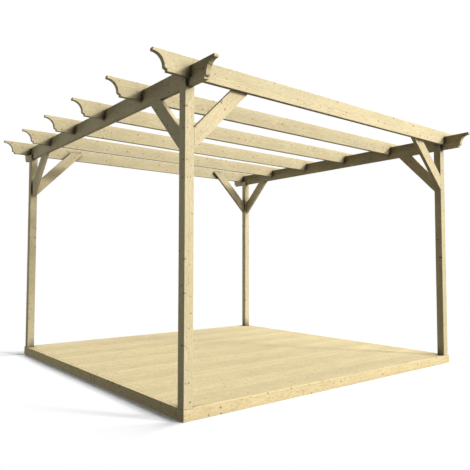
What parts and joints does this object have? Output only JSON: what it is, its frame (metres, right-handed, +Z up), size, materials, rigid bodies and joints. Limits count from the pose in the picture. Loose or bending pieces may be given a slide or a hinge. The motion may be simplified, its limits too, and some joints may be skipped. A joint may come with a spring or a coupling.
{
  "type": "wooden pergola on a deck",
  "caption": "Open timber pergola on a square boarded deck: posts, knee braces, slotted beams and rafters with scrolled ends.",
  "frame": {"origin": "on the ground, midway between the four posts, under the middle of the roof frame", "axes": "+X along the rafters to the right, +Y along the beams to the back, +Z up"},
  "size_m": [4.158, 4.216, 2.628],
  "materials": {
    "frame_timber": "planed, pressure treated, matt",
    "brace_timber": "planed, pressure treated, matt",
    "rim_timber": "planed, pressure treated, matt",
    "deck_timber": "planed, pressure treated, matt",
    "joist_timber": "sawn, pressure treated, matt"
  },
  "bodies": {
    "root": {"post_front_left": "frame_timber", "post_front_right": "frame_timber", "post_back_left": "frame_timber", "post_back_right": "frame_timber", "beam_left": "frame_timber", "beam_right": "frame_timber", "rafter_1": "frame_timber", "rafter_2": "frame_timber", "rafter_3": "frame_timber", "rafter_4": "frame_timber", "rafter_5": "frame_timber", "rafter_6": "frame_timber", "rafter_brace_front_left": "brace_timber", "rafter_brace_front_right": "brace_timber", "rafter_brace_back_left": "brace_timber", "rafter_brace_back_right": "brace_timber", "beam_brace_front_left": "brace_timber", "beam_brace_front_right": "brace_timber", "beam_brace_back_left": "brace_timber", "beam_brace_back_right": "brace_timber", "rim_front": "rim_timber", "rim_back": "rim_timber", "rim_left": "rim_timber", "rim_right": "rim_timber", "joist_1": "joist_timber", "joist_2": "joist_timber", "joist_3": "joist_timber", "joist_4": "joist_timber", "joist_5": "joist_timber", "joist_6": "joist_timber", "joist_7": "joist_timber", "joist_8": "joist_timber", "joist_9": "joist_timber", "joist_10": "joist_timber", "deck_boards": "deck_timber"}
  },
  "joints": []
}
